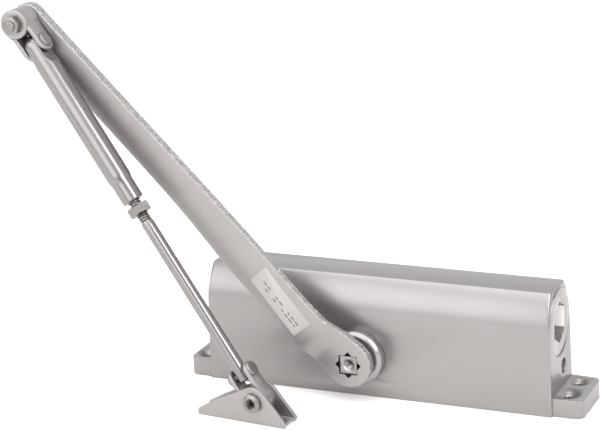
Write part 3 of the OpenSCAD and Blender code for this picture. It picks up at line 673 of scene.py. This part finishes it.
def cut_away(mesh, cutters):
    """The mesh with each cutter's solid taken out of it."""
    blank = bpy.data.objects.new(mesh.name, mesh)
    bpy.context.scene.collection.objects.link(blank)
    tools = []
    for cutter in cutters:
        tool = bpy.data.objects.new(cutter.name, cutter)
        bpy.context.scene.collection.objects.link(tool)
        cut = blank.modifiers.new(cutter.name, "BOOLEAN")
        cut.operation = "DIFFERENCE"
        cut.solver = "EXACT"
        cut.object = tool
        tools.append(tool)
    result = evaluated_mesh(blank)
    for tool in tools:
        bpy.data.objects.remove(tool)
    return result


star_cutter = prism("star_broach", [(star_outline(0), EYE_BACK - 5), (star_outline(0), EYE_FRONT - 0.35),
                                    (star_outline(0.45), EYE_FRONT + 0.1), (star_outline(0.45), EYE_FRONT + 5)])
stud_cutter = prism("stud_drill", [(circle_outline(STUD_RADIUS, ARM_LENGTH), depth) for depth in (20, 60)])
main_arm = finish_piece("main_arm_forged", cut_away(arm_shape, [star_cutter, stud_cutter]), "arm",
                        [painted_steel, rough_wall_painted_light], ["main_arm"], arm_frame)

# %% [markdown]
# ## Spindle
# The spindle's square end is ground steel and sits a little under the face of the eye. Its
# tapped hole takes the arm's screw. The thread is a helix, so Geometry Nodes draw it: a spiral
# curve carries a triangular ridge, and the same tree later threads the rod.

# %% Thread tree
def input_socket(tree, name, kind, value=None):
    socket = tree.interface.new_socket(name, in_out="INPUT", socket_type=kind)
    if value is not None:
        socket.default_value = value
    return socket


def new_tree(name, sizes):
    """A geometry tree with named sizes in millimetres and a material input."""
    tree = bpy.data.node_groups.new(name, "GeometryNodeTree")
    tree.interface.new_socket("Geometry", in_out="OUTPUT", socket_type="NodeSocketGeometry")
    for size in sizes:
        input_socket(tree, size, "NodeSocketInt" if size in ("Seed", "Rows") else "NodeSocketFloat")
    input_socket(tree, "Material", "NodeSocketMaterial")
    return tree, add(tree, "NodeGroupInput")


def close_tree(tree, geometry, sizes):
    whole = add(tree, "GeometryNodeRealizeInstances", {"Geometry": geometry})
    painted = add(tree, "GeometryNodeSetMaterial", {"Geometry": whole.outputs[0], "Material": sizes.outputs["Material"]})
    add(tree, "NodeGroupOutput", {"Geometry": painted.outputs[0]})


def grown_mesh(name, tree, values):
    """The plain mesh that a geometry tree makes from these values."""
    carrier = bpy.data.objects.new(name, bpy.data.meshes.new(name + "_seed"))
    bpy.context.scene.collection.objects.link(carrier)
    grower = carrier.modifiers.new(name, "NODES")
    grower.node_group = tree
    for item in tree.interface.items_tree:
        if item.in_out == "INPUT":
            grower[item.identifier] = values[item.name]
    return evaluated_mesh(carrier)


def math_node(tree, operation, a, b):
    return add(tree, "ShaderNodeMath", {0: a, 1: b}, operation=operation).outputs[0]


thread_tree, sizes = new_tree("screw_thread", ["Root radius", "Depth", "Pitch", "Length"])
turns = math_node(thread_tree, "DIVIDE", sizes.outputs["Length"], sizes.outputs["Pitch"])
helix = add(thread_tree, "GeometryNodeCurveSpiral", {
    "Resolution": 28, "Rotations": turns, "Start Radius": sizes.outputs["Root radius"],
    "End Radius": sizes.outputs["Root radius"], "Height": sizes.outputs["Length"]})
level = add(thread_tree, "GeometryNodeSetCurveNormal", {"Curve": helix.outputs[0]}, mode="Z_UP")
half_pitch = math_node(thread_tree, "MULTIPLY", sizes.outputs["Pitch"], 0.5)
flank = add(thread_tree, "GeometryNodeCurvePrimitiveCircle", {"Resolution": 3, "Radius": 1.0})
ridge_depth = math_node(thread_tree, "MULTIPLY", sizes.outputs["Depth"], -1.0)
ridge_width = math_node(thread_tree, "MULTIPLY", half_pitch, 1.15)
ridge_size = add(thread_tree, "ShaderNodeCombineXYZ", {"X": ridge_depth, "Y": ridge_width, "Z": 1.0})
ridge = add(thread_tree, "GeometryNodeTransform", {"Geometry": flank.outputs[0], "Scale": ridge_size.outputs[0]})
swept = add(thread_tree, "GeometryNodeCurveToMesh", {"Curve": level.outputs[0], "Profile Curve": ridge.outputs[0],
                                                     "Fill Caps": True})
close_tree(thread_tree, swept.outputs[0], sizes)


def threaded(mesh, root_radius, depth, pitch, start, length, place=None):
    """Adds a thread's ridge to a mesh, from start along the local z axis; a negative depth points in."""
    ridge_mesh = grown_mesh(mesh.name + "_thread", thread_tree, {
        "Root radius": root_radius, "Depth": depth, "Pitch": pitch, "Length": length, "Material": zinc_drawn})
    ridge_mesh.transform((place or Matrix()) @ Matrix.Translation((0, 0, start)))
    joined = bmesh.new()
    joined.from_mesh(mesh)
    joined.from_mesh(ridge_mesh)
    joined.to_mesh(mesh)
    joined.free()
    print(mesh.name, "thread has", len(ridge_mesh.polygons), "faces")
    bpy.data.meshes.remove(ridge_mesh)
    return mesh


# %% [markdown]
# The spindle is ground steel, square at both ends so that the arm fits either side, and each
# end is tapped for the screw that clamps the arm. The threads stand inwards from the holes.

# %% Spindle
SHAFT_FRONT, SHAFT_BACK, TAPPED_RADIUS, TAPPED_LENGTH, SINK = 37.9, 36.0, 2.5, 11.5, 1.4
spindle_mesh = rounded_copy("pinion_shaft", even(0.3), 0.3, 2)
in_metres = spindle_frame @ Matrix.Scale(MM, 4)
for start in (SHAFT_FRONT - SINK - TAPPED_LENGTH, SINK - SHAFT_BACK):
    threaded(spindle_mesh, TAPPED_RADIUS + 0.02, -0.38, 0.8, start, TAPPED_LENGTH, in_metres)
finish_piece("spindle_ground", spindle_mesh, "arm", [steel_ground], ["pinion_shaft"])

# %% [markdown]
# ## Label
# A blank rating label lies on the arm's face: satin film with rounded corners, and a few
# plain grey bars where a maker would print. The bars are a pattern that repeats along rows,
# so Geometry Nodes lay them out, with a fixed seed for their lengths.

# %% Label
LABEL_AT, LABEL_ACROSS, LABEL_TURN = 54.0, 1.9, math.radians(-5.4)
LABEL_LENGTH, LABEL_WIDTH, LABEL_THICK = 42.0, 13.3, 0.2
label_frame = (arm_frame @ Matrix.Translation(Vector((LABEL_AT, LABEL_ACROSS, BAR_FRONT)) * MM)
               @ Matrix.Rotation(LABEL_TURN, 4, "Z"))


def rounded_rectangle(length, width, corner, steps=6):
    outline = []
    for sx, sy, start in ((1, 1, 0), (-1, 1, 90), (-1, -1, 180), (1, -1, 270)):
        for i in range(steps + 1):
            a = math.radians(start + 90 * i / steps)
            outline.append((sx * (length / 2 - corner) + corner * math.cos(a),
                            sy * (width / 2 - corner) + corner * math.sin(a)))
    return outline


label_mesh = prism("arm_label_film", [(rounded_rectangle(LABEL_LENGTH, LABEL_WIDTH, 0.8), 0.0),
                                      (rounded_rectangle(LABEL_LENGTH, LABEL_WIDTH, 0.8), 0.14),
                                      (rounded_rectangle(LABEL_LENGTH - 0.1, LABEL_WIDTH - 0.1, 0.8), 0.18)])
finish_piece("arm_label_film", label_mesh, "arm", [label_film], ["arm_label"], label_frame)

# %% [markdown]
# The print on the label is two rows of plain bars, with no letters and no mark. The tree draws
# a grid of places, drops some at random, and stands a thin bar of ink on each that is left.

# %% Plain bars on the label
bar_tree, sizes = new_tree("label_bars", ["Row length", "Row spacing", "Bar height", "Rows", "Seed"])
row_depth = math_node(bar_tree, "MULTIPLY", sizes.outputs["Row spacing"],
                      math_node(bar_tree, "SUBTRACT", sizes.outputs["Rows"], 1.0))
grid = add(bar_tree, "GeometryNodeMeshGrid", {"Size X": sizes.outputs["Row length"], "Size Y": row_depth,
                                              "Vertices X": 9, "Vertices Y": sizes.outputs["Rows"]})
keep = add(bar_tree, "FunctionNodeRandomValue", {"Probability": 0.35, "Seed": sizes.outputs["Seed"]},
           data_type="BOOLEAN")
kept = add(bar_tree, "GeometryNodeDeleteGeometry", {"Geometry": grid.outputs[0], "Selection": keep.outputs[3]})
stretch = add(bar_tree, "FunctionNodeRandomValue", {"Min": (0.6, 1.0, 1.0), "Max": (1.15, 1.0, 1.0),
                                                    "Seed": sizes.outputs["Seed"]}, data_type="FLOAT_VECTOR")
bar_length = math_node(bar_tree, "DIVIDE", sizes.outputs["Row length"], 10.5)
bar_size = add(bar_tree, "ShaderNodeCombineXYZ", {"X": bar_length, "Y": sizes.outputs["Bar height"], "Z": 0.04})
bar = add(bar_tree, "GeometryNodeMeshCube", {"Size": bar_size.outputs[0]})
bars = add(bar_tree, "GeometryNodeInstanceOnPoints", {"Points": kept.outputs[0], "Instance": bar.outputs[0],
                                                      "Scale": stretch.outputs[0]})
close_tree(bar_tree, bars.outputs[0], sizes)
bars_mesh = grown_mesh("arm_label_bars", bar_tree, {"Row length": 30.0, "Row spacing": 2.2, "Bar height": 0.8,
                                                    "Rows": 2, "Seed": 4, "Material": label_ink})
finish_piece("arm_label_bars", bars_mesh, "arm", [label_ink], (), shifted(label_frame, -1.0, 1.2, 0.17))

# %% [markdown]
# ## Elbow
# A stud runs through the arm and carries the knuckle, a forged barrel with two ears. The tube
# is riveted between the ears and may tilt there. Nuts are hexagonal bar with both ends turned
# to a 30 degree chamfer: the tree intersects a six-sided prism with two cones.

# %% Nut tree
nut_tree, sizes = new_tree("chamfered_nut", ["Across flats", "Height", "Bore radius"])
flats = sizes.outputs["Across flats"]
corner = math_node(nut_tree, "DIVIDE", flats, math.sqrt(3))
prism_node = add(nut_tree, "GeometryNodeMeshCylinder", {"Vertices": 6, "Radius": corner,
                                                        "Depth": sizes.outputs["Height"]})
slim = math_node(nut_tree, "MULTIPLY", flats, 0.49)
half_height = math_node(nut_tree, "MULTIPLY", sizes.outputs["Height"], 0.5)
wide = math_node(nut_tree, "ADD", slim, math_node(nut_tree, "MULTIPLY", sizes.outputs["Height"], 1.732))
cone = add(nut_tree, "GeometryNodeMeshCone", {"Vertices": 72, "Radius Top": slim, "Radius Bottom": wide,
                                              "Depth": sizes.outputs["Height"]})
down = math_node(nut_tree, "MULTIPLY", half_height, -1.0)
down_vector = add(nut_tree, "ShaderNodeCombineXYZ", {"Z": down})
upper_cone = add(nut_tree, "GeometryNodeTransform", {"Geometry": cone.outputs[0],
                                                     "Translation": down_vector.outputs[0]})
lower_cone = add(nut_tree, "GeometryNodeTransform", {"Geometry": upper_cone.outputs[0],
                                                     "Rotation": (math.pi, 0, 0)})
chamfered = add(nut_tree, "GeometryNodeMeshBoolean", operation="INTERSECT", solver="EXACT")
for solid in (prism_node, upper_cone, lower_cone):
    nut_tree.links.new(solid.outputs[0], chamfered.inputs["Mesh 2"])
drill_length = math_node(nut_tree, "MULTIPLY", sizes.outputs["Height"], 2.0)
bore = add(nut_tree, "GeometryNodeMeshCylinder", {"Vertices": 48, "Radius": sizes.outputs["Bore radius"],
                                                  "Depth": drill_length})
bored = add(nut_tree, "GeometryNodeMeshBoolean", {"Mesh 1": chamfered.outputs[0]}, operation="DIFFERENCE",
            solver="EXACT")
nut_tree.links.new(bore.outputs[0], bored.inputs["Mesh 2"])
close_tree(nut_tree, bored.outputs[0], sizes)


def nut_piece(name, node, body, place, across_flats, height, bore_radius, material=zinc_turned):
    mesh = grown_mesh(name, nut_tree, {"Across flats": across_flats, "Height": height, "Bore radius": bore_radius,
                                       "Material": material})
    return finish_piece(name, mesh, body, [material], [node], place)


STUD_NUT_FRONT, ELBOW_NUT_HEIGHT, ELBOW_NUT_FLATS = 63.2, 3.8, 10.0
nut_place = shifted(arm_frame, ARM_LENGTH, 0, STUD_NUT_FRONT - ELBOW_NUT_HEIGHT / 2)
nut_piece("elbow_nut_chamfered", "elbow_nut", "arm", nut_place, ELBOW_NUT_FLATS, ELBOW_NUT_HEIGHT, STUD_RADIUS)
finish_piece("elbow_stud_turned", rounded_copy("elbow_stud", even(0.5), 0.5, 3), "arm", [zinc_turned],
             ["elbow_stud"])
finish_piece("elbow_knuckle_forged", rounded_copy("elbow_knuckle", even(0.7), 0.7, 3), "elbow_knuckle",
             [painted_steel], ["elbow_knuckle"])
finish_piece("shoe_knuckle_forged", rounded_copy("shoe_knuckle", even(0.7), 0.7, 3), "shoe_knuckle",
             [painted_steel], ["shoe_knuckle"])

# %% [markdown]
# ## Rivets
# Each ear rivet is pressed at both ends to a low head with a flat crown and a rounded edge. A
# head is a profile turned round its axis, so the tree sweeps the profile round a tiny circle
# and places the head at both ends.

# %% Rivet tree
rivet_tree, sizes = new_tree("domed_rivet", ["Head radius", "Head height", "Shank radius", "Grip"])
outward = math_node(rivet_tree, "MULTIPLY", sizes.outputs["Head height"], -1.0)
rim = add(rivet_tree, "ShaderNodeCombineXYZ", {"X": sizes.outputs["Head radius"]})
shoulder = add(rivet_tree, "ShaderNodeCombineXYZ", {"X": sizes.outputs["Head radius"], "Y": outward})
crown_rim = add(rivet_tree, "ShaderNodeCombineXYZ", {
    "X": math_node(rivet_tree, "MULTIPLY", sizes.outputs["Head radius"], 0.66), "Y": outward})
crown = add(rivet_tree, "ShaderNodeCombineXYZ", {"Y": outward})
dome = add(rivet_tree, "GeometryNodeCurveQuadraticBezier", {
    "Resolution": 14, "Start": rim.outputs[0], "Middle": shoulder.outputs[0], "End": crown_rim.outputs[0]})
flat_crown = add(rivet_tree, "GeometryNodeCurvePrimitiveLine", {"Start": crown_rim.outputs[0],
                                                                "End": crown.outputs[0]})
under = add(rivet_tree, "GeometryNodeCurvePrimitiveLine", {"Start": (0, 0, 0), "End": rim.outputs[0]})
profile = add(rivet_tree, "GeometryNodeJoinGeometry")
for part in (dome, flat_crown, under):
    rivet_tree.links.new(part.outputs[0], profile.inputs[0])
axis_ring = add(rivet_tree, "GeometryNodeCurvePrimitiveCircle", {"Resolution": 40, "Radius": 0.0005})
axis_up = add(rivet_tree, "GeometryNodeSetCurveNormal", {"Curve": axis_ring.outputs[0]}, mode="Z_UP")
turned_dome = add(rivet_tree, "GeometryNodeCurveToMesh", {"Curve": axis_up.outputs[0],
                                                          "Profile Curve": profile.outputs[0]})
half_grip = math_node(rivet_tree, "MULTIPLY", sizes.outputs["Grip"], 0.5)
back_grip = math_node(rivet_tree, "MULTIPLY", sizes.outputs["Grip"], -1.0)
first_end = add(rivet_tree, "ShaderNodeCombineXYZ", {"Z": half_grip})
to_other_end = add(rivet_tree, "ShaderNodeCombineXYZ", {"Z": back_grip})
ends = add(rivet_tree, "GeometryNodeMeshLine", {"Count": 2, "Start Location": first_end.outputs[0],
                                                "Offset": to_other_end.outputs[0]})
which = add(rivet_tree, "GeometryNodeInputIndex")
flip = add(rivet_tree, "ShaderNodeCombineXYZ", {"X": math_node(rivet_tree, "MULTIPLY", which.outputs[0], math.pi)})
heads = add(rivet_tree, "GeometryNodeInstanceOnPoints", {
    "Points": ends.outputs[0], "Instance": turned_dome.outputs[0], "Rotation": flip.outputs[0]})
shank = add(rivet_tree, "GeometryNodeMeshCylinder", {"Vertices": 32, "Radius": sizes.outputs["Shank radius"],
                                                     "Depth": sizes.outputs["Grip"]})
whole = add(rivet_tree, "GeometryNodeJoinGeometry")
rivet_tree.links.new(heads.outputs[0], whole.inputs[0])
rivet_tree.links.new(shank.outputs[0], whole.inputs[0])
close_tree(rivet_tree, whole.outputs[0], sizes)

rivet_values = {"Head radius": 4.5, "Head height": 1.7, "Shank radius": 2.3, "Grip": 15.0, "Material": zinc_turned}
across_ears = Matrix.Rotation(math.pi / 2, 4, "Y")
KNUCKLE_REACH = (joint_place("elbow_tilt") - elbow_at).length / MM
for rivet, knuckle, knuckle_frame in (("elbow_rivet", "elbow_knuckle", elbow_frame),
                                      ("shoe_rivet", "shoe_knuckle", shoe_knuckle_frame)):
    finish_piece(rivet + "_domed", grown_mesh(rivet + "_domed", rivet_tree, rivet_values), knuckle, [zinc_turned],
                 [rivet], shifted(knuckle_frame, 0, 0, KNUCKLE_REACH) @ across_ears)

# %% [markdown]
# ## Forearm
# The upper half is a tube pressed flat at its riveted end: the press leaves two flats that run
# out along the tube as long tongues. Its lower end is necked down and threaded inside. The rod
# screws into it and is held by the lock nut. Both are lofted from rings along their length.

# %% Forearm tube
TUBE_RADIUS, TUBE_FLAT, TUBE_END = 7.2, 4.6, 108.5
NECK_AT, NECK_RADIUS = 91.5, 6.55
ROD_RADIUS = 3.9
RING_SIDES = 72


def lofted(name, rings):
    """Closed shell through rings of points; the first and last ring are capped."""
    points, faces = [], []
    for ring in rings:
        points.extend(ring)
    sides = len(rings[0])
    for r in range(len(rings) - 1):
        for i in range(sides):
            j = (i + 1) % sides
            faces.append((r * sides + i, r * sides + j, (r + 1) * sides + j, (r + 1) * sides + i))
    faces.append(tuple(range(sides))[::-1])
    faces.append(tuple((len(rings) - 1) * sides + i for i in range(sides)))
    mesh = bpy.data.meshes.new(name)
    mesh.from_pydata(points, [], faces)
    return mesh


def tube_ring(z, wide, flat):
    """Ring of a tube of half width `wide`, pressed to half thickness `flat`."""
    ring = []
    for i in range(RING_SIDES):
        a = 2 * math.pi * i / RING_SIDES
        x, y = wide * math.cos(a), wide * math.sin(a)
        ring.append((max(-flat, min(flat, x)), y, z))
    return ring


FLAT_END, RUN_OUT = 8.5, 17.5
TAPPED_BORE, MOUTH_DEPTH = 4.1, 8
tube_rings = []
for i in range(15):
    a = math.pi / 2 * (1 - i / 14)
    z = -TUBE_RADIUS * math.sin(a)
    flat = TUBE_FLAT - 0.8 * (a / (math.pi / 2)) ** 4
    tube_rings.append(tube_ring(z, max(0.8, TUBE_RADIUS * math.cos(a)), flat))
z = 1.0
while z < NECK_AT:
    flat = TUBE_FLAT + (TUBE_RADIUS + 0.05 - TUBE_FLAT) * ease(z, FLAT_END, RUN_OUT)
    tube_rings.append(tube_ring(z, TUBE_RADIUS, flat))
    z += 0.75
neck = [(NECK_AT + k, TUBE_RADIUS + (NECK_RADIUS - TUBE_RADIUS) * ease(k, 0, 5)) for k in range(6)]
mouth = [(TUBE_END - 0.6, NECK_RADIUS), (TUBE_END, NECK_RADIUS - 0.6),
         (TUBE_END, TAPPED_BORE), (TUBE_END - MOUTH_DEPTH, TAPPED_BORE)]
for z, wide in neck + mouth:
    tube_rings.append(tube_ring(z, wide, 9.0))
finish_piece("forearm_tube_pressed", lofted("forearm_tube_pressed", tube_rings), "forearm_tube", [zinc_drawn],
             ["forearm_tube"], forearm_frame)

# %% [markdown]
# The rod screws into the tube, which sets the arm's length. Its thread is rolled, so the plain
# part is as wide as the crests. The lock nut holds it against the tube's mouth.

# %% Forearm rod with its thread
ROD_START, THREAD_START, THREAD_END = 101.0, 102.0, 123.0
THREAD_DEPTH, THREAD_PITCH = 0.66, 1.5
ROD_LENGTH = (joint_place("shoe_tilt") - joint_place("elbow_tilt")).length / MM + 4.5
core = ROD_RADIUS - THREAD_DEPTH
plain = ROD_RADIUS - 0.02
plain_step = (ROD_LENGTH - THREAD_END - 3.0) / 12
rod_profile = [(ROD_START, core - 0.8), (ROD_START + 0.4, core), (THREAD_END - 0.5, core),
               (THREAD_END + 0.6, ROD_RADIUS - 0.1), (THREAD_END + 1.5, plain)]
rod_profile += [(THREAD_END + 1.5 + k * plain_step, plain) for k in range(1, 13)]
rod_profile += [(ROD_LENGTH - 1.5 + 1.5 * math.sin(a), plain - 1.5 * (1 - math.cos(a)))
                for a in (0.4, 0.8, 1.2, math.pi / 2)]
rod_mesh = lofted("forearm_rod_threaded", [tube_ring(z, wide, 9.0) for z, wide in rod_profile])
threaded(rod_mesh, core - 0.05, THREAD_DEPTH + 0.03, THREAD_PITCH, THREAD_START, THREAD_END - THREAD_START)
finish_piece("forearm_rod_threaded", rod_mesh, "forearm_rod", [zinc_drawn], ["forearm_rod"],
             forearm_frame)
LOCK_NUT_GAP, LOCK_NUT_HEIGHT, LOCK_NUT_FLATS = 3.3, 5.5, 13.0
lock_nut_place = shifted(forearm_frame, 0, 0, TUBE_END + LOCK_NUT_GAP + LOCK_NUT_HEIGHT / 2)
nut_piece("lock_nut_chamfered", "lock_nut", "lock_nut", lock_nut_place, LOCK_NUT_FLATS, LOCK_NUT_HEIGHT,
          ROD_RADIUS + 0.02)

# %% [markdown]
# ## Shoe
# The shoe is a pressed steel channel that screws to the frame. The long lower edges are bends,
# so they have a round of one sheet thickness, and the cut edges are only slightly rolled. The
# forearm hangs on a pan head screw with a cross recess.

# %% Shoe bracket
def shoe_radius(middle, edge):
    level = abs((edge.verts[0].co - edge.verts[1].co).normalized().z) < 0.1
    return 0.9 if middle.z < 0.5 and level else 0.35


finish_piece("shoe_bracket_pressed", rounded_copy("shoe_bracket", shoe_radius, 0.9, 3), "shoe", [painted_steel],
             ["shoe_bracket"])
finish_piece("shoe_pivot_screw_head", rounded_copy("shoe_pivot_screw", even(0.25), 0.25, 2), "shoe", [zinc_turned],
             ["shoe_pivot_screw"])
nut_piece("shoe_pivot_nut_chamfered", "shoe_pivot_nut", "shoe",
          shifted(shoe_frame, 0, 7.25 + 0.1 + 2.0, 0) @ Matrix.Rotation(math.pi / 2, 4, "X"), 10.0, 4.0, 3.0)

# %% [markdown]
# ## The pieces inside
# What the casting hides keeps its CAD shape and gets its own metal or rubber.

# %% Finishes for the carried-over nodes
inside = {
    rubber: ["right_plug_o_ring", "left_plug_o_ring", "closing_valve_o_ring", "backcheck_valve_o_ring",
             "front_shaft_seal", "rear_shaft_seal"],
    steel_ground: ["front_needle_bearing", "rear_needle_bearing", "piston", "check_ball"],
    brass_turned: ["check_ball_retainer"],
    spring_steel: ["closing_spring"],
}
for finish, names in inside.items():
    for name in names:
        nodes[name].data.materials.clear()
        nodes[name].data.materials.append(finish)
print("carried-over nodes:", sum(len(names) for names in inside.values()))
